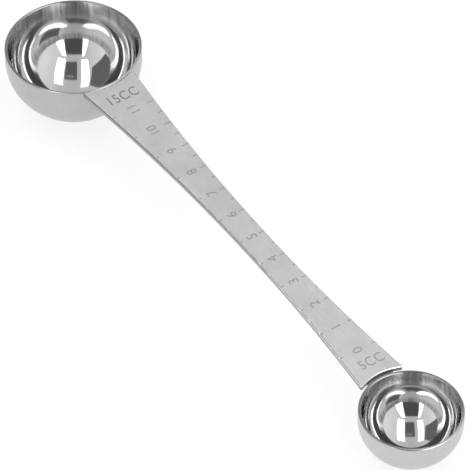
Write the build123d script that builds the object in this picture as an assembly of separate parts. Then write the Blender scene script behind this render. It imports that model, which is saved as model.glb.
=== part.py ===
from build123d import *
import math
import os

# A double-ended measuring spoon of stainless steel: a large and a small round bowl,
# joined by a flat waisted strip that is also a ruler. All sizes are in millimetres.
# The parts are drawn in a flat frame: the origin is the centre of the large rim, X runs
# along the strip to the small bowl, and both rims lie on the plane Z = 0.
# At the end the spoon is tilted and lifted, so that both bowls rest on Z = 0.

# Both bowls: a short straight wall over a dome that is a little flatter than a half ball
bowl_wall = 0.9
rim_round = 0.3
dome_share = 0.9

# Large bowl
large_radius = 19.8
large_straight = 4.3
large_dome = large_radius * dome_share

# Small bowl
small_radius = 13.95
small_straight = 3.2
small_dome = small_radius * dome_share

# Strip between the bowls
centre_distance = 166.7
strip_thickness = 1.5
strip_rise = 0.7
seam = 0.6
large_end_width = 17.2
small_end_width = 13.7
waist_width = 8.3
waist_distance = 97.0
corner_round = 0.6
edge_round = 0.45

# Ruler stamped in the top of the strip, with its zero near the small bowl
ruler_zero_distance = 24.4
ruler_step = 5.0
ruler_steps = 22
steps_per_long_mark = 2
mark_width = 0.35
mark_depth = 0.15

# Length of the marks, in from the side: they grow from zero to the end of the ruler
# along the back of the strip, and are even along its front
back_long_at_zero = 1.3
back_long_at_end = 2.6
back_short_at_zero = 0.5
back_short_at_end = 1.8
front_long = 1.2
front_short = 0.5

# Weld that joins each end of the strip to its bowl
weld_leg = 1.0
weld_sink = 0.3
weld_width_share = 0.6
bead_bulge_share = 0.2

# How far every cutting tool runs past what it cuts
overrun = 1.0

# Passes of the formula that finds the tilt
tilt_passes = 8


def bowl_solid(radius, straight, dome):
    """A whole bowl without its hollow, with its rim's centre at the origin."""
    with BuildPart() as body:
        with BuildSketch(Plane.XZ):
            with BuildLine():
                Line((0, -straight - dome), (0, 0))
                Line((0, 0), (radius, 0))
                Line((radius, 0), (radius, -straight))
                EllipticalCenterArc((0, -straight), radius, dome, start_angle=270, arc_size=90)
            make_face()
        revolve(axis=Axis.Z)
    return body.part


def make_bowl(radius, straight, dome):
    """A deep-drawn cup of even wall, with a rounded rim."""
    hollow = bowl_solid(radius - bowl_wall, straight, dome - bowl_wall)
    cup = bowl_solid(radius, straight, dome) - hollow
    rim_edges = cup.edges().filter_by(GeomType.CIRCLE).group_by(Axis.Z)[-1]
    return fillet(rim_edges, rim_round)


large_bowl = make_bowl(large_radius, large_straight, large_dome)
small_bowl = Pos(centre_distance, 0, 0) * make_bowl(small_radius, small_straight, small_dome)


# Plan of the strip: each end is an arc round its rim, and each long side is two arcs
# that meet at the waist, where both run along X
strip_top = strip_rise
strip_bottom = strip_rise - strip_thickness
large_seat = large_radius + seam
small_seat = small_radius + seam


def end_corner_distance(seat, width):
    """Distance of a corner from its bowl's axis, along X."""
    return math.sqrt(seat**2 - (width / 2) ** 2)


large_corner_x = end_corner_distance(large_seat, large_end_width)
small_corner_x = centre_distance - end_corner_distance(small_seat, small_end_width)


def strip_half_width(x):
    """Half of the strip's width at a distance along it."""
    if x < waist_distance:
        corner_x = large_corner_x
        end_width = large_end_width
    else:
        corner_x = small_corner_x
        end_width = small_end_width
    run = corner_x - waist_distance
    rise = (end_width - waist_width) / 2
    side_radius = (run**2 + rise**2) / (2 * rise)
    return waist_width / 2 + side_radius - math.sqrt(side_radius**2 - (x - waist_distance) ** 2)


def side_arc(start_x, end_x, side):
    """One of the four arcs along the strip's sides, side being 1 or -1."""
    middle_x = (start_x + end_x) / 2
    points = [(x, side * strip_half_width(x)) for x in (start_x, middle_x, end_x)]
    return ThreePointArc(*points)


def make_strip():
    """The flat strip, with rounded corners and edges."""
    with BuildPart() as body:
        with BuildSketch(Plane.XY.offset(strip_bottom)) as plan:
            with BuildLine():
                side_arc(large_corner_x, waist_distance, 1)
                side_arc(waist_distance, small_corner_x, 1)
                ThreePointArc(
                    (small_corner_x, small_end_width / 2),
                    (centre_distance - small_seat, 0),
                    (small_corner_x, -small_end_width / 2),
                )
                side_arc(small_corner_x, waist_distance, -1)
                side_arc(waist_distance, large_corner_x, -1)
                ThreePointArc(
                    (large_corner_x, -large_end_width / 2),
                    (large_seat, 0),
                    (large_corner_x, large_end_width / 2),
                )
            make_face()
            corners = plan.vertices().filter_by(lambda v: abs(v.Y) > waist_width / 2 + corner_round)
            fillet(corners, corner_round)
        extrude(amount=strip_thickness)
        flat_edges = body.edges().group_by(Axis.Z)
        fillet(flat_edges[0] + flat_edges[-1], edge_round)
    return body.part


def mark_length(step, side):
    """Length of one mark of the ruler, side being 1 at the back or -1 at the front."""
    long_mark = step % steps_per_long_mark == 0
    if side < 0:
        return front_long if long_mark else front_short
    reach = step / ruler_steps
    if long_mark:
        return back_long_at_zero + (back_long_at_end - back_long_at_zero) * reach
    return back_short_at_zero + (back_short_at_end - back_short_at_zero) * reach


def ruler_mark(step, side):
    """The tool that stamps one mark, which runs out through the strip's side."""
    length = mark_length(step, side) + overrun
    height = mark_depth + overrun
    x = centre_distance - ruler_zero_distance - step * ruler_step
    y = strip_half_width(x) + overrun - length / 2
    z = strip_top - mark_depth + height / 2
    return Pos(x, side * y, z) * Box(mark_width, length, height)


plain_strip = make_strip()
marks = [ruler_mark(step, side) for step in range(ruler_steps + 1) for side in (1, -1)]
handle_strip = plain_strip - marks


def make_weld(radius, straight, dome, end_width):
    """Weld metal in the seam and in the corner under the strip, on the +X side."""
    seat = radius + seam
    inside = radius - bowl_wall / 2
    under_edge = seat + edge_round
    toe = strip_bottom - weld_leg
    half_angle = math.degrees(math.asin(weld_width_share * end_width / 2 / seat))
    bulge = weld_leg * (1 / 2 + bead_bulge_share)
    with BuildPart() as bead:
        with BuildSketch(Plane.XZ):
            with BuildLine():
                Polyline((radius, toe), (inside, toe), (inside, -weld_sink), (under_edge, -weld_sink))
                Polyline((under_edge, -weld_sink), (under_edge, strip_bottom), (seat + weld_leg, strip_bottom))
                ThreePointArc(
                    (seat + weld_leg, strip_bottom),
                    (radius + (seat + weld_leg - radius) * (1 / 2 + bead_bulge_share), strip_bottom - bulge),
                    (radius, toe),
                )
            make_face()
        revolve(axis=Axis.Z, revolution_arc=2 * half_angle)
    turned = Rot(0, 0, -half_angle) * bead.part
    return turned - bowl_solid(radius, straight, dome)


# Each weld fits closely against its bowl's wall and the strip's rounded end
large_bowl_weld = make_weld(large_radius, large_straight, large_dome, large_end_width) - plain_strip
small_weld_drawn = make_weld(small_radius, small_straight, small_dome, small_end_width)
small_bowl_weld = Pos(centre_distance, 0, 0) * Rot(0, 0, 180) * small_weld_drawn - plain_strip


def depth_when_tilted(radius, straight, dome, tilt):
    """How far a bowl reaches below its rim's centre when its axis leans by tilt."""
    dome_reach = math.sqrt((dome * math.cos(tilt)) ** 2 + (radius * math.sin(tilt)) ** 2)
    return straight * math.cos(tilt) + dome_reach


# The small bowl is shallower, so the spoon tips towards it until both bowls touch
tilt = 0
for _ in range(tilt_passes):
    large_depth = depth_when_tilted(large_radius, large_straight, large_dome, tilt)
    small_depth = depth_when_tilted(small_radius, small_straight, small_dome, tilt)
    tilt = math.asin((large_depth - small_depth) / centre_distance)

nodes = {
    "large_bowl": large_bowl,
    "small_bowl": small_bowl,
    "handle_strip": handle_strip,
    "large_bowl_weld": large_bowl_weld,
    "small_bowl_weld": small_bowl_weld,
}

# The origin is under the middle of the whole spoon, on the surface that it rests on
tilted = {name: Rot(0, math.degrees(tilt), 0) * solid for name, solid in nodes.items()}
boxes = [solid.bounding_box() for solid in tilted.values()]
spoon_middle = (min(box.min.X for box in boxes) + max(box.max.X for box in boxes)) / 2

os.makedirs("parts", exist_ok=True)
for name, solid in tilted.items():
    export_step(Pos(-spoon_middle, 0, large_depth) * solid, f"parts/{name}.step")
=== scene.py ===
from collections import namedtuple
import math

import bpy
from mathutils import Matrix, Vector


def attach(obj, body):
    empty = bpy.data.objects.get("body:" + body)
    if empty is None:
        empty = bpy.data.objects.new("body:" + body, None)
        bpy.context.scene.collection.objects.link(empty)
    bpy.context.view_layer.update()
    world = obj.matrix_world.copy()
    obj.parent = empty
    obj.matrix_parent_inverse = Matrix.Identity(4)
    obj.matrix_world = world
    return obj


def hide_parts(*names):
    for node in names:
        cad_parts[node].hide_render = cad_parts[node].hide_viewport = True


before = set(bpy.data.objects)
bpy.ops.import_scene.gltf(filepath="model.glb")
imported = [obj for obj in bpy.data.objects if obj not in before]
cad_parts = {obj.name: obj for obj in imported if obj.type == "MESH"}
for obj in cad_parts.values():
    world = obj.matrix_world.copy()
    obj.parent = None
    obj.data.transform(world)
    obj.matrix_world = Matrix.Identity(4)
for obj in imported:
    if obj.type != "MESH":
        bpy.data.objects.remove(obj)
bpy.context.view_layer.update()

bl_info = {
    "name": "Double-ended measuring spoon",
    "version": (1, 0, 0),
    "blender": (4, 5, 0),
    "location": "3D View > Sidebar > Spoon",
    "description": "Dresses the steel measuring spoon: bowls, stamped ruler strip, welds and studio",
    "category": "Add Mesh",
}


# Sizes and finishes that a user can change


def length(name, description, default):
    """A size in metres."""
    return bpy.props.FloatProperty(
        name=name, description=description, default=default, unit="LENGTH", precision=5, min=0
    )


def grey(name, description, default):
    """A plain metal colour."""
    return bpy.props.FloatVectorProperty(
        name=name, description=description, default=(default,) * 3, subtype="COLOR", min=0, max=1
    )


class SpoonSizes(bpy.types.PropertyGroup):
    """Sizes of the spoon, drawn flat with the large rim's centre as the origin."""

    large_radius: length("Large radius", "Outer radius of the large bowl", 0.0198)
    large_straight: length("Large straight wall", "Height of the wall above the large dome", 0.0043)
    small_radius: length("Small radius", "Outer radius of the small bowl", 0.01395)
    small_straight: length("Small straight wall", "Height of the wall above the small dome", 0.0032)
    dome_share: bpy.props.FloatProperty(
        name="Dome share", description="Depth of a dome as a share of its radius", default=0.9, min=0
    )
    wall: length("Bowl wall", "Thickness of both bowls", 0.0009)
    rim_round: length("Rim round", "Radius on both edges of a rim", 0.00028)
    distance: length("Centre distance", "Distance between the bowls' axes", 0.1667)
    middle: length("Middle", "Distance from the large bowl's axis to the middle of the spoon", 0.0802728)
    thickness: length("Strip thickness", "Thickness of the strip", 0.0015)
    rise: length("Strip rise", "Height of the strip's top above the rims", 0.0007)
    seam: length("Seam", "Gap between a bowl and the end of the strip", 0.0006)
    large_end: length("Large end width", "Width of the strip at the large bowl", 0.0172)
    small_end: length("Small end width", "Width of the strip at the small bowl", 0.0137)
    waist: length("Waist width", "Least width of the strip", 0.0083)
    waist_at: length("Waist distance", "Distance of the waist from the large bowl's axis", 0.097)
    corner_round: length("Corner round", "How far from a corner of the strip its rounding starts", 0.001)
    edge_round: length("Edge round", "Radius of the strip's edges", 0.00035)
    ruler_zero: length("Ruler zero", "Distance of the ruler's zero from the small bowl's axis", 0.0244)
    ruler_step: length("Ruler step", "Distance between two marks", 0.005)
    mark_depth: length("Mark depth", "Depth of the stamped marks", 0.00006)
    mark_width: length("Mark width", "Width of the stamped marks at the surface", 0.0004)
    number_height: length("Number height", "Height of the ruler's numbers", 0.0029)


class SpoonFinish(bpy.types.PropertyGroup):
    """Colours and gloss of the steel."""

    polished: grey("Polished steel", "Colour of the bowls' insides and rims", 0.77)
    # The large bowl's outside is a darker copy of the small one's satin: painted shade
    satin: grey("Satin steel", "Colour of the large bowl's outside", 0.49)
    satin_small: grey("Small satin steel", "Colour of the small bowl's outside", 0.56)
    strip: grey("Strip steel", "Colour of the strip", 0.79)
    # The sheared sides' dark colour is painted shade
    side: grey("Side steel", "Colour of the strip's sheared sides", 0.33)
    # The border's near-white colour is a painted highlight
    border: grey("Border steel", "Colour of the rounding next to the strip's flat", 0.98)
    # The grey at the bottom of the stamps is painted shade in the recesses, darkest in the large capacity
    stamped: grey("Stamped steel", "Colour at the bottom of the marks and numbers", 0.5)
    deep: grey("Deep stamped steel", "Colour at the bottom of the large capacity", 0.38)
    weld: grey("Weld metal", "Colour of the weld beads", 0.46)
    polished_roughness: bpy.props.FloatProperty(
        name="Polished roughness", description="Roughness of the insides", default=0.07, min=0, max=1
    )
    satin_roughness: bpy.props.FloatProperty(
        name="Satin roughness", description="Roughness of the outsides", default=0.34, min=0, max=1
    )
    strip_roughness: bpy.props.FloatProperty(
        name="Strip roughness", description="Roughness of the strip", default=0.48, min=0, max=1
    )


class SpoonStudio(bpy.types.PropertyGroup):
    """Camera and light."""

    azimuth: bpy.props.FloatProperty(
        name="Azimuth", description="Angle of the camera round the spoon", default=0.983219, subtype="ANGLE"
    )
    elevation: bpy.props.FloatProperty(
        name="Elevation", description="Angle of the camera above the rims", default=0.803048, subtype="ANGLE"
    )
    camera_distance: length("Camera distance", "From the camera to the point that it aims at", 0.936617)
    aim_x: bpy.props.FloatProperty(
        name="Aim along", description="Where the camera aims, along the strip", default=0.08871, unit="LENGTH"
    )
    aim_y: bpy.props.FloatProperty(
        name="Aim across",
        description="Where the camera aims, across the strip",
        default=-0.003117,
        unit="LENGTH",
    )
    lens: bpy.props.FloatProperty(
        name="Lens", description="Focal length in millimetres on a 36 mm sensor", default=263.2, min=1
    )
    lamp_white: bpy.props.FloatProperty(
        name="Lamp white", description="Brightness of the soft lamps, where 1 is white", default=3.0, min=0
    )
    room_white: bpy.props.FloatProperty(
        name="Room white", description="Brightness of the room on matt surfaces", default=0.55, min=0
    )


def sizes():
    return bpy.context.scene.spoon_sizes


def finish():
    return bpy.context.scene.spoon_finish


def studio():
    return bpy.context.scene.spoon_studio


# Places nearer than this count as the same one
HAIR = 0.000001

# Smooth shading ends at edges sharper than this
CREASE = math.radians(35)


# Where the spoon rests

# Passes of the formula that finds the tilt
TILT_PASSES = 8


def depth_when_tilted(radius, straight, dome, tilt):
    """How far a bowl reaches below its rim's centre when its axis leans by tilt."""
    reach = math.sqrt((dome * math.cos(tilt)) ** 2 + (radius * math.sin(tilt)) ** 2)
    return straight * math.cos(tilt) + reach


def resting_place():
    """The matrix from the flat drawing to the resting spoon."""
    s = sizes()
    tilt = 0
    for _ in range(TILT_PASSES):
        large = depth_when_tilted(s.large_radius, s.large_straight, s.large_radius * s.dome_share, tilt)
        small = depth_when_tilted(s.small_radius, s.small_straight, s.small_radius * s.dome_share, tilt)
        tilt = math.asin((large - small) / s.distance)
    return Matrix.Translation((-s.middle, 0, large)) @ Matrix.Rotation(tilt, 4, "Y")


# Small helpers for modelling


def start_clean():
    """Leave edit mode with nothing selected."""
    if bpy.context.object and bpy.context.object.mode != "OBJECT":
        bpy.ops.object.mode_set(mode="OBJECT")
    bpy.ops.object.select_all(action="DESELECT")


def only(piece):
    """Make one piece the selected and active one."""
    start_clean()
    piece.select_set(True)
    bpy.context.view_layer.objects.active = piece


def pick(piece, test):
    """Select the vertices of an edited piece that pass a test of their place."""
    bpy.ops.object.mode_set(mode="OBJECT")
    mesh = piece.data
    for group in (mesh.polygons, mesh.edges):
        group.foreach_set("select", [False] * len(group))
    for vertex in mesh.vertices:
        vertex.select = test(vertex.co)
    bpy.ops.object.mode_set(mode="EDIT")
    bpy.ops.mesh.select_mode(type="VERT")


def pick_faces(piece, test):
    """Select the faces of an edited piece that pass a test."""
    bpy.ops.object.mode_set(mode="OBJECT")
    mesh = piece.data
    mesh.vertices.foreach_set("select", [False] * len(mesh.vertices))
    mesh.edges.foreach_set("select", [False] * len(mesh.edges))
    for face in mesh.polygons:
        face.select = test(face)
    bpy.ops.object.mode_set(mode="EDIT")
    bpy.ops.mesh.select_mode(type="FACE")


def place(piece, matrix):
    """Move a piece and leave its object at the origin, unturned."""
    only(piece)
    piece.matrix_world = matrix
    bpy.ops.object.transform_apply(location=True, rotation=True, scale=True)


def apply_modifiers(piece):
    only(piece)
    for modifier in list(piece.modifiers):
        bpy.ops.object.modifier_apply(modifier=modifier.name)


def cut(piece, tool):
    """Cut the tool out of the piece, and delete the tool."""
    only(piece)
    corners = len(piece.data.vertices)
    modifier = piece.modifiers.new("Cut", "BOOLEAN")
    modifier.operation = "DIFFERENCE"
    modifier.solver = "EXACT"
    modifier.material_mode = "TRANSFER"
    modifier.object = tool
    bpy.ops.object.modifier_apply(modifier=modifier.name)
    bpy.data.objects.remove(tool, do_unlink=True)
    if len(piece.data.vertices) < corners / 2:
        raise RuntimeError(f"{piece.name} was lost in a cut")


def dress(piece, node):
    """Let a finished piece stand for its CAD node."""
    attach(piece, "root")
    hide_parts(node)


# Finishes

# Grain of a steel: how much its colour and its roughness vary, how fine the grain is along each
# axis, how fine the clouding is, and how strong the relief is
Grain = namedtuple("Grain", "spread rough_spread stretch cloud relief")
POLISHED_GRAIN = Grain(spread=0.02, rough_spread=0.015, stretch=(90, 90, 90), cloud=60, relief=0.06)
SATIN_GRAIN = Grain(spread=0.07, rough_spread=0.04, stretch=(2600, 2600, 500), cloud=110, relief=0.25)
STRIP_GRAIN = Grain(spread=0.07, rough_spread=0.05, stretch=(500, 2200, 2200), cloud=130, relief=0.25)
EDGE_GRAIN = Grain(spread=0.03, rough_spread=0.03, stretch=(600, 2000, 2000), cloud=90, relief=0.15)
RIM_GRAIN = Grain(spread=0.03, rough_spread=0.02, stretch=(1200, 1200, 1200), cloud=90, relief=0.1)
SIDE_GRAIN = Grain(spread=0.05, rough_spread=0.04, stretch=(400, 2400, 2400), cloud=120, relief=0.2)
STAMPED_GRAIN = Grain(spread=0.05, rough_spread=0.05, stretch=(2500, 2500, 2500), cloud=90, relief=0.3)
WELD_GRAIN = Grain(spread=0.12, rough_spread=0.08, stretch=(1500, 1500, 1500), cloud=400, relief=0.4)

# A noise counts as none below the first number and as full above the second
NOISE_RANGE = (0.35, 0.65)

# The greyer wall of a bowl, where the grey is painted shade streaked like drawing: where it starts and
# where it is full, as shares of the radius below the rim, how much duller it is, how fine its streaks are
# round it and down it, and the shares of the colour that the darkest and the lightest streak keep
WALL_START = 0.42
WALL_FULL = 0.15
WALL_DULLER = 0.15
STREAKS = (800, 800, 50)
STREAKED_SHADE_SHARES = (0.46, 0.8)

# Tones of the strip, which are painted light and shade, are placed along the spoon, this far each way from
# its middle
SPOON_REACH = 0.1


def remap(nodes, links, value, low, high, to_low=0, to_high=1):
    """Spread the range of a value over another one."""
    spread = nodes.new("ShaderNodeMapRange")
    ends = {"From Min": low, "From Max": high, "To Min": to_low, "To Max": to_high}
    for label, number in ends.items():
        spread.inputs[label].default_value = number
    links.new(value, spread.inputs["Value"])
    return spread


def toned(nodes, links, colour, tone):
    """A colour multiplied by a tone."""
    tint = nodes.new("ShaderNodeMix")
    tint.data_type = "RGBA"
    tint.blend_type = "MULTIPLY"
    tint.inputs["Factor"].default_value = 1
    links.new(colour, tint.inputs["A"])
    links.new(tone, tint.inputs["B"])
    return tint


def grey_ramp(nodes, links, value, stops):
    """A soft ramp of greys: each stop is a place from 0 to 1 and a level, in rising order."""
    ramp = nodes.new("ShaderNodeValToRGB")
    ramp.color_ramp.interpolation = "EASE"
    elements = ramp.color_ramp.elements
    elements[0].position = stops[0][0]
    elements[1].position = stops[-1][0]
    for at, _ in stops[1:-1]:
        elements.new(at)
    for element, (_, level) in zip(elements, stops):
        element.color = (level, level, level, 1)
    links.new(value, ramp.inputs["Fac"])
    return ramp.outputs["Color"]


def new_group(name, inputs, outputs):
    tree = bpy.data.node_groups.new(name, "ShaderNodeTree")
    for label, kind in inputs:
        tree.interface.new_socket(label, in_out="INPUT", socket_type=kind)
    for label, kind in outputs:
        tree.interface.new_socket(label, in_out="OUTPUT", socket_type=kind)
    return tree, tree.nodes.new("NodeGroupInput"), tree.nodes.new("NodeGroupOutput")


def steel_group():
    """Grain and faint clouding of steel, from a coarse and a fine noise."""
    name = "Steel surface"
    if name in bpy.data.node_groups:
        return bpy.data.node_groups[name]
    inputs = [
        ("Vector", "NodeSocketVector"),
        ("Stretch", "NodeSocketVector"),
        ("Cloud scale", "NodeSocketFloat"),
        ("Dark", "NodeSocketColor"),
        ("Light", "NodeSocketColor"),
        ("Rough low", "NodeSocketFloat"),
        ("Rough high", "NodeSocketFloat"),
    ]
    outputs = [("Color", "NodeSocketColor"), ("Roughness", "NodeSocketFloat"), ("Height", "NodeSocketFloat")]
    tree, start, end = new_group(name, inputs, outputs)
    nodes, links = tree.nodes, tree.links
    stretch = nodes.new("ShaderNodeVectorMath")
    stretch.operation = "MULTIPLY"
    links.new(start.outputs["Vector"], stretch.inputs[0])
    links.new(start.outputs["Stretch"], stretch.inputs[1])
    fine = nodes.new("ShaderNodeTexNoise")
    fine.inputs["Scale"].default_value = 1
    fine.inputs["Detail"].default_value = 6
    fine.inputs["Roughness"].default_value = 0.65
    links.new(stretch.outputs[0], fine.inputs["Vector"])
    cloud = nodes.new("ShaderNodeTexNoise")
    cloud.inputs["Detail"].default_value = 3
    links.new(start.outputs["Vector"], cloud.inputs["Vector"])
    links.new(start.outputs["Cloud scale"], cloud.inputs["Scale"])
    mixed = nodes.new("ShaderNodeMix")
    mixed.inputs["Factor"].default_value = 0.45
    links.new(fine.outputs["Fac"], mixed.inputs["A"])
    links.new(cloud.outputs["Fac"], mixed.inputs["B"])
    tone = remap(nodes, links, mixed.outputs["Result"], *NOISE_RANGE)
    colour = nodes.new("ShaderNodeMix")
    colour.data_type = "RGBA"
    links.new(tone.outputs["Result"], colour.inputs["Factor"])
    links.new(start.outputs["Dark"], colour.inputs["A"])
    links.new(start.outputs["Light"], colour.inputs["B"])
    rough = nodes.new("ShaderNodeMapRange")
    links.new(tone.outputs["Result"], rough.inputs["Value"])
    links.new(start.outputs["Rough low"], rough.inputs["To Min"])
    links.new(start.outputs["Rough high"], rough.inputs["To Max"])
    links.new(colour.outputs["Result"], end.inputs["Color"])
    links.new(rough.outputs["Result"], end.inputs["Roughness"])
    links.new(fine.outputs["Fac"], end.inputs["Height"])
    return tree


def steel(name, colour, roughness, grain):
    """A steel material: colour and roughness vary a little, with a grain stretched one way."""
    if name in bpy.data.materials:
        return bpy.data.materials[name]
    material = bpy.data.materials.new(name)
    material.use_nodes = True
    nodes, links = material.node_tree.nodes, material.node_tree.links
    shader = nodes["Principled BSDF"]
    shader.inputs["Metallic"].default_value = 1
    coordinates = nodes.new("ShaderNodeTexCoord")
    surface = nodes.new("ShaderNodeGroup")
    surface.node_tree = steel_group()
    surface.inputs["Stretch"].default_value = grain.stretch
    surface.inputs["Cloud scale"].default_value = grain.cloud
    surface.inputs["Dark"].default_value = (*[c * (1 - grain.spread) for c in colour], 1)
    surface.inputs["Light"].default_value = (*[min(1, c * (1 + grain.spread)) for c in colour], 1)
    surface.inputs["Rough low"].default_value = roughness - grain.rough_spread
    surface.inputs["Rough high"].default_value = roughness + grain.rough_spread
    links.new(coordinates.outputs["Object"], surface.inputs["Vector"])
    links.new(surface.outputs["Color"], shader.inputs["Base Color"])
    links.new(surface.outputs["Roughness"], shader.inputs["Roughness"])
    relief = nodes.new("ShaderNodeBump")
    relief.inputs["Strength"].default_value = grain.relief
    relief.inputs["Distance"].default_value = 0.00002
    links.new(surface.outputs["Height"], relief.inputs["Height"])
    links.new(relief.outputs["Normal"], shader.inputs["Normal"])
    return material


def bowl_steel(name, radius):
    """Polished steel, duller in the wall under the rim, where painted shade greys it with the streaks of
    drawing.
    """
    if name in bpy.data.materials:
        return bpy.data.materials[name]
    f = finish()
    material = steel(name, f.polished, f.polished_roughness, POLISHED_GRAIN)
    nodes, links = material.node_tree.nodes, material.node_tree.links
    shader = nodes["Principled BSDF"]
    shader.inputs["Anisotropic"].default_value = 0.8
    shader.inputs["Anisotropic Rotation"].default_value = 0.25
    turned = nodes.new("ShaderNodeTangent")
    turned.direction_type = "RADIAL"
    turned.axis = "Z"
    links.new(turned.outputs["Tangent"], shader.inputs["Tangent"])
    rest = resting_place()
    axis = rest.to_3x3() @ Vector((0, 0, 1))
    rim = axis.dot(rest.translation)
    coordinates = nodes.new("ShaderNodeTexCoord")
    height = nodes.new("ShaderNodeVectorMath")
    height.operation = "DOT_PRODUCT"
    height.inputs[1].default_value = axis
    links.new(coordinates.outputs["Object"], height.inputs[0])
    start, full = rim - WALL_START * radius, rim - WALL_FULL * radius
    wall = remap(nodes, links, height.outputs["Value"], start, full)
    wall.interpolation_type = "SMOOTHSTEP"
    stretch = nodes.new("ShaderNodeVectorMath")
    stretch.operation = "MULTIPLY"
    stretch.inputs[1].default_value = STREAKS
    links.new(coordinates.outputs["Object"], stretch.inputs[0])
    drawn = nodes.new("ShaderNodeTexNoise")
    drawn.inputs["Scale"].default_value = 1
    drawn.inputs["Detail"].default_value = 3
    links.new(stretch.outputs["Vector"], drawn.inputs["Vector"])
    streaks = remap(nodes, links, drawn.outputs["Fac"], *NOISE_RANGE, *STREAKED_SHADE_SHARES)
    surface = shader.inputs["Base Color"].links[0].from_node
    # the wall band is darkened by the streaks: painted shade
    tint = toned(nodes, links, surface.outputs["Color"], streaks.outputs["Result"])
    links.new(wall.outputs["Result"], tint.inputs["Factor"])
    links.new(tint.outputs["Result"], shader.inputs["Base Color"])
    rough = nodes.new("ShaderNodeMath")
    rough.operation = "MULTIPLY_ADD"
    rough.inputs[1].default_value = WALL_DULLER
    links.new(wall.outputs["Result"], rough.inputs[0])
    links.new(surface.outputs["Roughness"], rough.inputs[2])
    links.new(rough.outputs["Value"], shader.inputs["Roughness"])
    return material


def satin_steel(name, colour):
    return steel(name, colour, finish().satin_roughness, SATIN_GRAIN)


def tone_along(material, start, end, stops):
    """Paint light and shade into a steel along the spoon: each stop is a place on its X axis and a share of
    the colour.
    """
    nodes, links = material.node_tree.nodes, material.node_tree.links
    if "Tone" in nodes:
        return material
    base = nodes["Principled BSDF"].inputs["Base Color"]
    coordinates = nodes.new("ShaderNodeTexCoord")
    split = nodes.new("ShaderNodeSeparateXYZ")
    links.new(coordinates.outputs["Object"], split.inputs["Vector"])
    along = remap(nodes, links, split.outputs["X"], start, end)
    shares = [((x - start) / (end - start), share) for x, share in stops]
    tone = grey_ramp(nodes, links, along.outputs["Result"], shares)
    tint = toned(nodes, links, base.links[0].from_socket, tone)
    tint.name = "Tone"
    links.new(tint.outputs["Result"], base)
    return material


def strip_steel():
    f = finish()
    material = steel("Strip steel", f.strip, f.strip_roughness, STRIP_GRAIN)
    # painted shade along the strip, a little darker at the large end and the middle than at the small end
    stops = ((-0.06, 0.96), (0.0, 0.95), (0.07, 1.0))
    return tone_along(material, -SPOON_REACH, SPOON_REACH, stops)


def edge_steel():
    """The burnished part of the rounded edge, with painted shade at the large end and a painted highlight at
    the small one.
    """
    material = steel("Edge steel", finish().polished, roughness=0.2, grain=EDGE_GRAIN)
    # painted shade at the large end, rising to a painted highlight above the steel's own colour at the small
    # end
    stops = ((-0.062, 0.22), (-0.03, 0.35), (0.0, 0.75), (0.03, 1.2), (0.06, 1.25))
    return tone_along(material, -SPOON_REACH, SPOON_REACH, stops)


def border_steel():
    """The upper part of the rounded edge, next to the strip's flat, with a painted highlight that is
    brightest at the large end.
    """
    material = steel("Border steel", finish().border, roughness=0.42, grain=EDGE_GRAIN)
    # painted highlight, fading from the large end to the small one
    stops = ((-0.062, 1.0), (-0.02, 0.96), (0.02, 0.72), (0.06, 0.6))
    return tone_along(material, -SPOON_REACH, SPOON_REACH, stops)


def rim_steel(name, radius, centre):
    """Steel of a rim with painted highlight and shade: brightest at its end towards the small bowl, and grey
    along its sides.
    """
    material = steel(name, finish().polished, roughness=0.12, grain=RIM_GRAIN)
    middle = (resting_place() @ Vector((centre, 0, 0))).x
    # painted highlight at both ends of the rim along the spoon, brightest towards the small bowl, and painted
    # shade along its sides
    tones = ((-1, 0.8), (-0.85, 0.45), (0.35, 0.42), (1, 1))
    stops = [(middle + share * radius, tone) for share, tone in tones]
    return tone_along(material, middle - radius, middle + radius, stops)


def side_steel():
    # the dark colour is painted shade on the sheared sides
    return steel("Side steel", finish().side, roughness=0.2, grain=SIDE_GRAIN)


def stamped_steel(name, colour):
    return steel(name, colour, roughness=0.42, grain=STAMPED_GRAIN)


def weld_steel():
    """Weld metal with the ripples that the weld pool leaves."""
    name = "Weld steel"
    if name in bpy.data.materials:
        return bpy.data.materials[name]
    material = steel(name, finish().weld, roughness=0.3, grain=WELD_GRAIN)
    nodes, links = material.node_tree.nodes, material.node_tree.links
    relief = nodes["Principled BSDF"].inputs["Normal"].links[0].from_node
    wave = nodes.new("ShaderNodeTexWave")
    wave.bands_direction = "Y"
    wave.inputs["Scale"].default_value = 700
    wave.inputs["Distortion"].default_value = 2.5
    wave.inputs["Detail"].default_value = 2
    coordinates = nodes.new("ShaderNodeTexCoord")
    links.new(coordinates.outputs["Object"], wave.inputs["Vector"])
    ripple = nodes.new("ShaderNodeBump")
    ripple.inputs["Strength"].default_value = 0.8
    ripple.inputs["Distance"].default_value = 0.00008
    links.new(wave.outputs["Fac"], ripple.inputs["Height"])
    links.new(ripple.outputs["Normal"], relief.inputs["Normal"])
    return material


# Bowls


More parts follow.
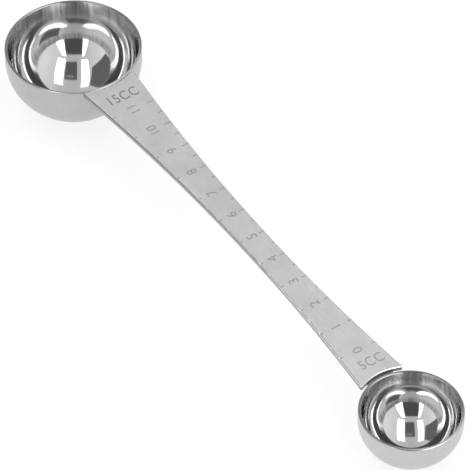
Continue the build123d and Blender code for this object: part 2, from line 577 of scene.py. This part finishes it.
def make_bowl(name, radius, straight, centre, satin):
    """A drawn cup: half of a flattened ball, a straight wall, a thickness and a rounded rim."""
    s = sizes()
    start_clean()
    bpy.ops.mesh.primitive_uv_sphere_add(segments=224, ring_count=144, radius=radius)
    cup = bpy.context.object
    cup.name = name
    bpy.ops.object.mode_set(mode="EDIT")
    bpy.ops.mesh.select_all(action="SELECT")
    bpy.ops.mesh.bisect(plane_co=(0, 0, 0), plane_no=(0, 0, 1), clear_outer=True, threshold=HAIR)
    bpy.ops.mesh.select_all(action="SELECT")
    bpy.ops.transform.resize(value=(1, 1, s.dome_share), center_override=(0, 0, 0))
    bpy.ops.transform.translate(value=(0, 0, -straight))
    pick(cup, lambda co: co.z > -straight - HAIR)
    bpy.ops.mesh.extrude_region_move(TRANSFORM_OT_translate={"value": (0, 0, straight)})
    bpy.ops.object.mode_set(mode="OBJECT")
    cup.data.materials.append(satin_steel(f"Satin steel of {name}", satin))
    cup.data.materials.append(bowl_steel(f"Polished steel of {name}", radius))
    cup.data.materials.append(rim_steel(f"Rim steel of {name}", radius, centre))
    wall = cup.modifiers.new("Wall", "SOLIDIFY")
    wall.thickness = s.wall
    wall.offset = -1
    wall.use_even_offset = True
    wall.material_offset = 1
    wall.material_offset_rim = 2
    rim = cup.modifiers.new("Rim", "BEVEL")
    rim.width = s.rim_round
    rim.segments = 5
    rim.limit_method = "ANGLE"
    rim.angle_limit = math.radians(60)
    apply_modifiers(cup)
    bpy.ops.object.shade_smooth_by_angle(angle=CREASE)
    place(cup, Matrix.Translation((centre, 0, 0)))
    place(cup, resting_place())
    return cup


class SPOON_OT_bowls(bpy.types.Operator):
    """Model the two bowls, polished inside and satin outside"""

    bl_idname = "spoon.bowls"
    bl_label = "Bowls"

    def execute(self, context):
        s = sizes()
        f = finish()
        large = make_bowl("Large_bowl", s.large_radius, s.large_straight, 0, f.satin)
        small = make_bowl("Small_bowl", s.small_radius, s.small_straight, s.distance, f.satin_small)
        dress(large, "large_bowl")
        dress(small, "small_bowl")
        return {"FINISHED"}


# Strip

# The grid that the strip starts from: columns between its corners, and columns past them
COLUMNS = 60
COLUMNS_PAST = 3

# Facets of an end of the strip, from its middle line to a corner
END_FACETS = 3.5

# How level a face of the blank is to count as part of a flat
FLAT_FROM = 0.9

# Marks and numbers of the ruler, and how far a mark's tool runs out past the side
RULER_MARKS = 23
RULER_NUMBERS = 12
MARKS_PER_NUMBER = 2
OVERRUN = 0.001

# Lengths of the marks. Those along the back grow from the zero to the end of the ruler
FRONT_LONG = 0.0012
FRONT_SHORT = 0.0006
BACK_LONG = 0.0013
BACK_SHORT = 0.0005
BACK_GROWTH = 0.0013

# Height of a capital letter as a share of the type's size
LETTER_SHARE = 0.73

# The stamping tool of a word, in depths of the word: half of its thickness, and its middle above
# the strip's top
WORD_TOOL_HALF = 2
WORD_TOOL_LIFT = 1.08

# Depth of the ruler's numbers, and the middles of the two capacities
NUMBER_DEPTH = 0.00004
SMALL_CAPACITY_AT = (0.14735, 0.0008)
LARGE_CAPACITY_AT = (0.026, 0.0005)

# A finished face is part of a flat above the first level, and of the border above the second.
# Below the side level it is part of the sheared side. That level is lower in the small end, which
# starts at a distance along the strip, so that the painted highlight of the edge is wider there
FLAT_LEVEL = 0.999
BORDER_LEVEL = 0.95
SIDE_LEVEL = 0.6
SIDE_LEVEL_SMALL_END = 0.3
SMALL_END_FROM = 0.108


def corner_distance(seat, width):
    """Distance of a corner of the strip from its bowl's axis, along the strip."""
    return math.sqrt(seat**2 - (width / 2) ** 2)


def half_width(x):
    """Half of the strip's width at a distance along it."""
    s = sizes()
    if x < s.waist_at:
        corner = corner_distance(s.large_radius + s.seam, s.large_end)
        end = s.large_end
    else:
        corner = s.distance - corner_distance(s.small_radius + s.seam, s.small_end)
        end = s.small_end
    run = corner - s.waist_at
    rise = (end - s.waist) / 2
    radius = (run**2 + rise**2) / (2 * rise)
    return s.waist / 2 + radius - math.sqrt(radius**2 - (x - s.waist_at) ** 2)


def strip_blank():
    """The plain strip: a grid shaped to its waist, given its thickness, with ends cut to the rims."""
    s = sizes()
    large_seat = s.large_radius + s.seam
    small_seat = s.small_radius + s.seam
    first = corner_distance(large_seat, s.large_end)
    last = s.distance - corner_distance(small_seat, s.small_end)
    pitch = (last - first) / COLUMNS
    start = first - (COLUMNS_PAST + 0.5) * pitch
    cells = COLUMNS + 1 + 2 * COLUMNS_PAST
    start_clean()
    bpy.ops.mesh.primitive_grid_add(x_subdivisions=cells, y_subdivisions=1, size=1)
    blank = bpy.context.object
    blank.name = "Ruler_strip"
    grid_place = Matrix.Translation((start + cells * pitch / 2, 0, s.rise))
    place(blank, grid_place @ Matrix.Diagonal((cells * pitch, 1, 1, 1)))
    for column in range(cells + 1):
        x = start + column * pitch
        pick(blank, lambda co: abs(co.x - x) < pitch / 4)
        bpy.ops.transform.resize(value=(1, 2 * half_width(x), 1), center_override=(x, 0, s.rise))
    bpy.ops.mesh.select_all(action="SELECT")
    bpy.ops.mesh.extrude_region_move(TRANSFORM_OT_translate={"value": (0, 0, -s.thickness)})
    bpy.ops.mesh.select_all(action="SELECT")
    bpy.ops.mesh.normals_make_consistent(inside=False)
    bpy.ops.object.mode_set(mode="OBJECT")
    ends = ((0, large_seat, s.large_end, -1), (s.distance, small_seat, s.small_end, 1))
    for centre, seat, width, side in ends:
        # each corner lands on the middle of a facet, where there is room to round it
        facets = round(2 * math.pi * END_FACETS / math.asin(width / 2 / seat))
        start_clean()
        bpy.ops.mesh.primitive_cylinder_add(
            vertices=facets,
            radius=seat,
            depth=s.thickness * 4,
            location=(centre, 0, 0),
            rotation=(0, 0, side * math.pi / 2),
        )
        cut(blank, bpy.context.object)
    return blank


def round_strip(blank):
    """Round the four corners in plan, and then every edge of both flats."""
    s = sizes()
    large = corner_distance(s.large_radius + s.seam, s.large_end)
    small = s.distance - corner_distance(s.small_radius + s.seam, s.small_end)
    corners = [(x, side * w / 2) for x, w in ((large, s.large_end), (small, s.small_end)) for side in (1, -1)]

    def from_corner(co):
        return min(math.hypot(co.x - x, co.y - y) for x, y in corners)

    only(blank)
    bpy.ops.object.mode_set(mode="EDIT")
    bpy.ops.mesh.select_all(action="SELECT")
    bpy.ops.mesh.remove_doubles(threshold=2 * HAIR)
    for up in (1, -1):
        pick_faces(blank, lambda face: face.normal.z * up > FLAT_FROM)
        bpy.ops.mesh.dissolve_faces()
    pick(blank, lambda co: from_corner(co) < s.corner_round / 5)
    bpy.ops.mesh.select_mode(type="EDGE")
    bpy.ops.mesh.bevel(offset=s.corner_round, segments=6, affect="EDGES", clamp_overlap=True)
    pick_faces(blank, lambda face: abs(face.normal.z) > FLAT_FROM)
    bpy.ops.mesh.region_to_loop()
    bpy.ops.mesh.bevel(offset=s.edge_round, segments=5, affect="EDGES")
    bpy.ops.object.mode_set(mode="OBJECT")


def mark_length(step, side):
    """Length of one mark of the ruler, side being 1 at the back or -1 at the front."""
    long_mark = step % MARKS_PER_NUMBER == 0
    if side < 0:
        return FRONT_LONG if long_mark else FRONT_SHORT
    reach = step / (RULER_MARKS - 1)
    return (BACK_LONG if long_mark else BACK_SHORT) + BACK_GROWTH * reach


def mark_tools():
    """The stamping tools of the ruler marks: bars of a diamond section, with a point down."""
    s = sizes()
    tools = []
    for step in range(RULER_MARKS):
        x = s.distance - s.ruler_zero - step * s.ruler_step
        for side in (1, -1):
            start_clean()
            bpy.ops.mesh.primitive_cylinder_add(vertices=4, radius=1, depth=2)
            tool = bpy.context.object
            run = mark_length(step, side) + OVERRUN
            y = side * (half_width(x) + OVERRUN - run / 2)
            # the widest part stands a quarter of the depth above the strip's top
            lift = Matrix.Translation((x, y, s.rise + s.mark_depth / 4))
            shape = Matrix.Diagonal((s.mark_width * 5 / 8, run / 2, s.mark_depth * 5 / 4, 1))
            place(tool, lift @ shape @ Matrix.Rotation(math.pi / 2, 4, "X"))
            tools.append(tool)
    return tools


def word_tool(body, centre, turn, height, depth, width=None):
    """The stamping tool of a word: upright letters that reach below the strip's top."""
    start_clean()
    bpy.ops.object.text_add()
    word = bpy.context.object
    word.data.body = body
    word.data.align_x = "CENTER"
    word.data.align_y = "CENTER"
    word.data.size = height / LETTER_SHARE
    word.data.resolution_u = 6
    word.data.space_character = 1.08
    word.data.extrude = WORD_TOOL_HALF * depth
    bpy.ops.object.convert(target="MESH")
    word = bpy.context.object
    bpy.ops.object.origin_set(type="ORIGIN_GEOMETRY", center="BOUNDS")
    tall = height / word.dimensions.y
    wide = width / word.dimensions.x if width else tall
    lift = Matrix.Translation((centre[0], centre[1], sizes().rise + WORD_TOOL_LIFT * depth))
    place(word, lift @ Matrix.Rotation(turn, 4, "Z") @ Matrix.Diagonal((wide, tall, 1, 1)))
    bpy.ops.object.mode_set(mode="EDIT")
    bpy.ops.mesh.select_all(action="SELECT")
    bpy.ops.mesh.remove_doubles(threshold=HAIR / 2)
    bpy.ops.mesh.normals_make_consistent(inside=False)
    bpy.ops.object.mode_set(mode="OBJECT")
    return word


def join(tools):
    start_clean()
    for tool in tools:
        tool.select_set(True)
    bpy.context.view_layer.objects.active = tools[0]
    bpy.ops.object.join()
    return bpy.context.object


def stamp(strip):
    """Stamp the ruler's marks and numbers and the two capacities into the strip."""
    s = sizes()
    f = finish()
    numbers = []
    for number in range(RULER_NUMBERS):
        x = s.distance - s.ruler_zero - number * MARKS_PER_NUMBER * s.ruler_step
        numbers.append(word_tool(str(number), (x, 0), math.pi, s.number_height, NUMBER_DEPTH))
    across = math.pi / 2
    small = word_tool("5CC", SMALL_CAPACITY_AT, across, height=0.0032, depth=0.00007, width=0.0073)
    large = word_tool("15CC", LARGE_CAPACITY_AT, across, height=0.0036, depth=0.0001, width=0.0093)
    # the darker bottoms of the stamps are painted shade, darkest in the large capacity
    faint = stamped_steel("Stamped steel", f.stamped)
    deep = stamped_steel("Deep stamped steel", f.deep)
    for tools, steel_below in ((mark_tools(), faint), (numbers + [small], faint), ([large], deep)):
        tool = join(tools)
        tool.data.materials.clear()
        tool.data.materials.append(steel_below)
        cut(strip, tool)


def finish_edges(strip):
    """Shade the flats flat, and give the rounded edges and the sheared sides their own steels, which carry
    painted highlight and shade.
    """
    only(strip)
    bpy.ops.object.shade_smooth_by_angle(angle=CREASE)
    first = len(strip.data.materials)
    for steel_along in (border_steel(), edge_steel(), side_steel()):
        strip.data.materials.append(steel_along)
    for face in strip.data.polygons:
        level = face.normal.z
        if abs(level) > FLAT_LEVEL:
            face.use_smooth = False
        elif face.material_index == 0:
            sheared = SIDE_LEVEL if face.center.x < SMALL_END_FROM else SIDE_LEVEL_SMALL_END
            face.material_index = first + (level < BORDER_LEVEL) + (level < sheared)


class SPOON_OT_strip(bpy.types.Operator):
    """Model the strip with its rounded edges, ruler marks, numbers and capacities"""

    bl_idname = "spoon.strip"
    bl_label = "Ruler strip"

    def execute(self, context):
        strip = strip_blank()
        round_strip(strip)
        strip.data.materials.clear()
        strip.data.materials.append(strip_steel())
        stamp(strip)
        finish_edges(strip)
        place(strip, resting_place())
        dress(strip, "handle_strip")
        return {"FINISHED"}


# Welds

# Width of a weld as a share of the strip's end
WELD_SHARE = 0.6

# The bead: its radius, the corners of its section, its middle out from the bowl and down from the
# strip's underside, and the rounding of its ends
BEAD_RADIUS = 0.00062
BEAD_CORNERS = 20
BEAD_OUT = 0.00038
BEAD_DOWN = 0.00034
BEAD_END_ROUND = 0.00022

# The metal in the seam: how far it sinks into each side, and its top and bottom as shares of the
# way down to the strip's underside
FILL_SINK = 0.0001
FILL_TOP = 0.55
FILL_BOTTOM = 1.1


def make_weld(name, radius, end_width, centre, side):
    """A bead in the corner under the strip, with weld metal in the seam above it."""
    s = sizes()
    half = math.asin(WELD_SHARE * end_width / 2 / (radius + s.seam))
    under = s.rise - s.thickness
    bead_at = (radius + BEAD_OUT, 0, under - BEAD_DOWN)
    fill_at = (radius + s.seam / 2, 0, (FILL_BOTTOM + FILL_TOP) / 2 * under)
    fill_size = ((s.seam + 2 * FILL_SINK) / 2, 1, (FILL_TOP - FILL_BOTTOM) / 2 * under)
    parts = []
    for at, corners, size in ((bead_at, BEAD_CORNERS, BEAD_RADIUS), (fill_at, 4, 1)):
        start_clean()
        bpy.ops.mesh.primitive_circle_add(
            vertices=corners, radius=size, fill_type="NGON", location=at, rotation=(math.pi / 2, 0, 0)
        )
        section = bpy.context.object
        bpy.ops.object.transform_apply(location=True, rotation=True, scale=True)
        bpy.ops.object.mode_set(mode="EDIT")
        bpy.ops.mesh.select_all(action="SELECT")
        if at is fill_at:
            bpy.ops.transform.resize(value=fill_size, center_override=at)
            bpy.ops.mesh.subdivide(number_cuts=2)
        bpy.ops.mesh.select_all(action="SELECT")
        bpy.ops.mesh.spin(steps=40, angle=2 * half, center=(0, 0, 0), axis=(0, 0, 1))
        bpy.ops.mesh.select_all(action="SELECT")
        bpy.ops.mesh.normals_make_consistent(inside=False)
        bpy.ops.object.mode_set(mode="OBJECT")
        middle = sum((v.co for v in section.data.vertices), Vector()) / len(section.data.vertices)
        place(section, Matrix.Rotation(-math.atan2(middle.y, middle.x), 4, "Z"))
        parts.append(section)
    bead = join(parts)
    bead.name = name
    bead.data.materials.append(weld_steel())
    ends = bead.modifiers.new("Soft ends", "BEVEL")
    ends.width = BEAD_END_ROUND
    ends.segments = 3
    ends.limit_method = "ANGLE"
    ends.angle_limit = math.radians(50)
    apply_modifiers(bead)
    bpy.ops.object.shade_smooth_by_angle(angle=math.radians(45))
    place(bead, Matrix.Translation((centre, 0, 0)) @ Matrix.Rotation(0 if side > 0 else math.pi, 4, "Z"))
    place(bead, resting_place())
    return bead


class SPOON_OT_welds(bpy.types.Operator):
    """Model the weld at each end of the strip"""

    bl_idname = "spoon.welds"
    bl_label = "Welds"

    def execute(self, context):
        s = sizes()
        large = make_weld("Large_bowl_weld", s.large_radius, s.large_end, 0, 1)
        small = make_weld("Small_bowl_weld", s.small_radius, s.small_end, s.distance, -1)
        dress(large, "large_bowl_weld")
        dress(small, "small_bowl_weld")
        return {"FINISHED"}


# Studio: the lamps and cards are placed along three axes that start at the large rim:
# to the camera's right, away from the camera and up

# Brightness of the floor to the camera and in mirrors, on top of the light that falls on it
FLOOR_GLOW = 0.75


def studio_place():
    return resting_place() @ Matrix.Rotation(studio().azimuth, 4, "Z")


def facing_camera():
    """Axes of a sheet that stands square to the camera's line of sight."""
    rise = studio().elevation
    return Matrix.Rotation(math.pi / 2 - rise, 4, "X")


def glow_material(name, level):
    if name in bpy.data.materials:
        return bpy.data.materials[name]
    material = bpy.data.materials.new(name)
    material.use_nodes = True
    nodes, links = material.node_tree.nodes, material.node_tree.links
    nodes.remove(nodes["Principled BSDF"])
    glow = nodes.new("ShaderNodeEmission")
    glow.inputs["Color"].default_value = (1, 1, 1, 1)
    glow.inputs["Strength"].default_value = level
    links.new(glow.outputs[0], nodes["Material Output"].inputs["Surface"])
    return material


def hide_from_light(piece):
    """Let only the steel's reflections show a piece."""
    piece.visible_camera = False
    piece.visible_diffuse = False
    piece.visible_shadow = False


def add_panel(name, turn, far, corners, level):
    """A flat glowing panel with four corners, on a turned sheet that stands far away."""
    start_clean()
    bpy.ops.mesh.primitive_plane_add(size=2)
    panel = bpy.context.object
    panel.name = name
    bpy.ops.object.mode_set(mode="EDIT")
    for start, corner in zip(((-1, -1), (1, -1), (1, 1), (-1, 1)), corners):
        pick(panel, lambda co: math.hypot(co.x - start[0], co.y - start[1]) < HAIR)
        bpy.ops.transform.translate(value=(corner[0] - start[0], corner[1] - start[1], 0))
    bpy.ops.object.mode_set(mode="OBJECT")
    panel.data.materials.append(glow_material(f"Glow {level:.2f}", level))
    place(panel, studio_place() @ turn @ Matrix.Translation((0, 0, far)))
    if level < 1:  # a card is only mirrored, and a lamp gives light too
        hide_from_light(panel)
    else:
        panel.visible_camera = False


def add_tent():
    """The grey room that the polished steel mirrors, darker behind and above its middle."""
    start_clean()
    bpy.ops.mesh.primitive_uv_sphere_add(segments=48, ring_count=24, radius=2.5)
    tent = bpy.context.object
    tent.name = "Tent"
    material = glow_material("Tent", 1)
    nodes, links = material.node_tree.nodes, material.node_tree.links
    coordinates = nodes.new("ShaderNodeTexCoord")
    turn = nodes.new("ShaderNodeVectorRotate")
    turn.rotation_type = "Z_AXIS"
    turn.inputs["Angle"].default_value = -studio().azimuth
    links.new(coordinates.outputs["Object"], turn.inputs["Vector"])
    unit = nodes.new("ShaderNodeVectorMath")
    unit.operation = "NORMALIZE"
    links.new(turn.outputs["Vector"], unit.inputs[0])
    split = nodes.new("ShaderNodeSeparateXYZ")
    links.new(unit.outputs["Vector"], split.inputs["Vector"])
    aside = nodes.new("ShaderNodeMath")
    aside.operation = "ABSOLUTE"
    links.new(split.outputs["X"], aside.inputs[0])
    stops = ((0.0, 0.55), (0.28, 0.59), (0.55, 0.76), (0.8, 0.87))
    level = grey_ramp(nodes, links, aside.outputs["Value"], stops)
    links.new(level, nodes["Emission"].inputs["Color"])
    tent.data.materials.append(material)
    hide_from_light(tent)


def seen_ray(nodes, links):
    """Where a ray comes from the camera, a mirror or glass: 1, and else 0."""
    path = nodes.new("ShaderNodeLightPath")
    seen = path.outputs["Is Camera Ray"]
    for name in ("Is Glossy Ray", "Is Transmission Ray"):
        either = nodes.new("ShaderNodeMath")
        either.operation = "MAXIMUM"
        links.new(seen, either.inputs[0])
        links.new(path.outputs[name], either.inputs[1])
        seen = either.outputs["Value"]
    return seen


def floor_material():
    """A white floor that keeps the spoon's shadow."""
    material = bpy.data.materials.new("Floor")
    material.use_nodes = True
    nodes, links = material.node_tree.nodes, material.node_tree.links
    shader = nodes["Principled BSDF"]
    shader.inputs["Base Color"].default_value = (0.34, 0.34, 0.34, 1)
    shader.inputs["Roughness"].default_value = 0.9
    shader.inputs["Specular IOR Level"].default_value = 0
    shader.inputs["Emission Color"].default_value = (1, 1, 1, 1)
    lift = nodes.new("ShaderNodeMath")
    lift.operation = "MULTIPLY"
    lift.inputs[1].default_value = FLOOR_GLOW
    links.new(seen_ray(nodes, links), lift.inputs[0])
    links.new(lift.outputs[0], shader.inputs["Emission Strength"])
    return material


def make_world():
    """A white room for what is seen and mirrored, a little dimmer for the light that it gives."""
    world = bpy.data.worlds.new("Room")
    bpy.context.scene.world = world
    world.use_nodes = True
    nodes, links = world.node_tree.nodes, world.node_tree.links
    background = nodes["Background"]
    background.inputs["Color"].default_value = (1, 1, 1, 1)
    level = remap(nodes, links, seen_ray(nodes, links), 0, 1, to_low=studio().room_white)
    links.new(level.outputs["Result"], background.inputs["Strength"])


class SPOON_OT_studio(bpy.types.Operator):
    """Add the floor, the soft lamps, the cards and the camera"""

    bl_idname = "spoon.studio"
    bl_label = "Studio"

    def execute(self, context):
        view = studio()
        start_clean()
        bpy.ops.mesh.primitive_plane_add(size=6)
        floor = bpy.context.object
        floor.name = "Floor"
        floor.data.materials.append(floor_material())
        make_world()
        add_tent()
        flat = Matrix.Identity(4)
        front = facing_camera()
        side = Matrix.Rotation(-math.pi / 2, 4, "Y")
        white = view.lamp_white
        # name, sheet, its distance, brightness, and the four corners on the sheet
        panels = (
            ("Ceiling_lamp_left", flat, 1, white,
             (-0.45, -0.56), (-0.205, -0.54), (-0.172, 0.40), (-0.38, 0.41)),
            ("Ceiling_lamp_right", flat, 1, white,
             (0.315, -0.57), (0.62, -0.63), (0.555, 0.385), (0.295, 0.36)),
            ("Front_lamp_left", front, 1, white,
             (-0.52, -0.62), (-0.285, -0.6), (-0.215, 0.145), (-0.285, 0.135)),
            ("Front_lamp_right", front, 1, white,
             (0.40, -0.6), (0.80, -0.62), (0.407, 0.106), (0.262, 0.14)),
            ("Ceiling_card", flat, 1.02, 0.12,
             (-0.07, -0.49), (0.28, -0.49), (0.27, 0.144), (-0.068, 0.144)),
            ("Ceiling_bar", flat, 1.01, 0.3,
             (0.02, 0.0), (0.22, 0.0), (0.22, 0.06), (0.02, 0.06)),
            ("Front_card", front, 1.02, 0.08,
             (-0.30, -0.75), (0.42, -0.75), (0.29, 0.09), (-0.21, 0.09)),
            ("Side_card", side, 0.6, 0.14,
             (0.32, -0.28), (1.13, -0.26), (1.5, 0.56), (0.25, 0.56)),
        )
        for name, turn, far, level, *corners in panels:
            add_panel(name, turn, far, corners, level)
        bpy.ops.object.camera_add()
        camera = bpy.context.object
        camera.name = "Camera"
        camera.data.sensor_width = 36
        camera.data.lens = view.lens
        camera.data.clip_end = 10
        aim = Vector((view.aim_x, view.aim_y, 0))
        turn = Matrix.Rotation(view.azimuth, 4, "Z") @ facing_camera()
        stand = Matrix.Translation(aim) @ turn @ Matrix.Translation((0, 0, view.camera_distance))
        camera.matrix_world = resting_place() @ stand
        context.scene.camera = camera
        context.scene.view_settings.view_transform = "Standard"
        return {"FINISHED"}


class SPOON_PT_panel(bpy.types.Panel):
    """Buttons and values of the measuring spoon"""

    bl_label = "Measuring spoon"
    bl_idname = "SPOON_PT_panel"
    bl_space_type = "VIEW_3D"
    bl_region_type = "UI"
    bl_category = "Spoon"

    def draw(self, context):
        column = self.layout.column()
        for group in (sizes(), finish(), studio()):
            for name in group.__annotations__:
                column.prop(group, name)
        for operator in OPERATORS:
            column.operator(operator.bl_idname)


OPERATORS = (SPOON_OT_bowls, SPOON_OT_strip, SPOON_OT_welds, SPOON_OT_studio)
CLASSES = (SpoonSizes, SpoonFinish, SpoonStudio, *OPERATORS, SPOON_PT_panel)


def register():
    for item in CLASSES:
        bpy.utils.register_class(item)
    bpy.types.Scene.spoon_sizes = bpy.props.PointerProperty(type=SpoonSizes)
    bpy.types.Scene.spoon_finish = bpy.props.PointerProperty(type=SpoonFinish)
    bpy.types.Scene.spoon_studio = bpy.props.PointerProperty(type=SpoonStudio)


def unregister():
    del bpy.types.Scene.spoon_sizes
    del bpy.types.Scene.spoon_finish
    del bpy.types.Scene.spoon_studio
    for item in reversed(CLASSES):
        bpy.utils.unregister_class(item)


def main():
    register()
    bpy.ops.spoon.bowls()
    bpy.ops.spoon.strip()
    bpy.ops.spoon.welds()
    bpy.ops.spoon.studio()


if __name__ == "__main__":
    main()
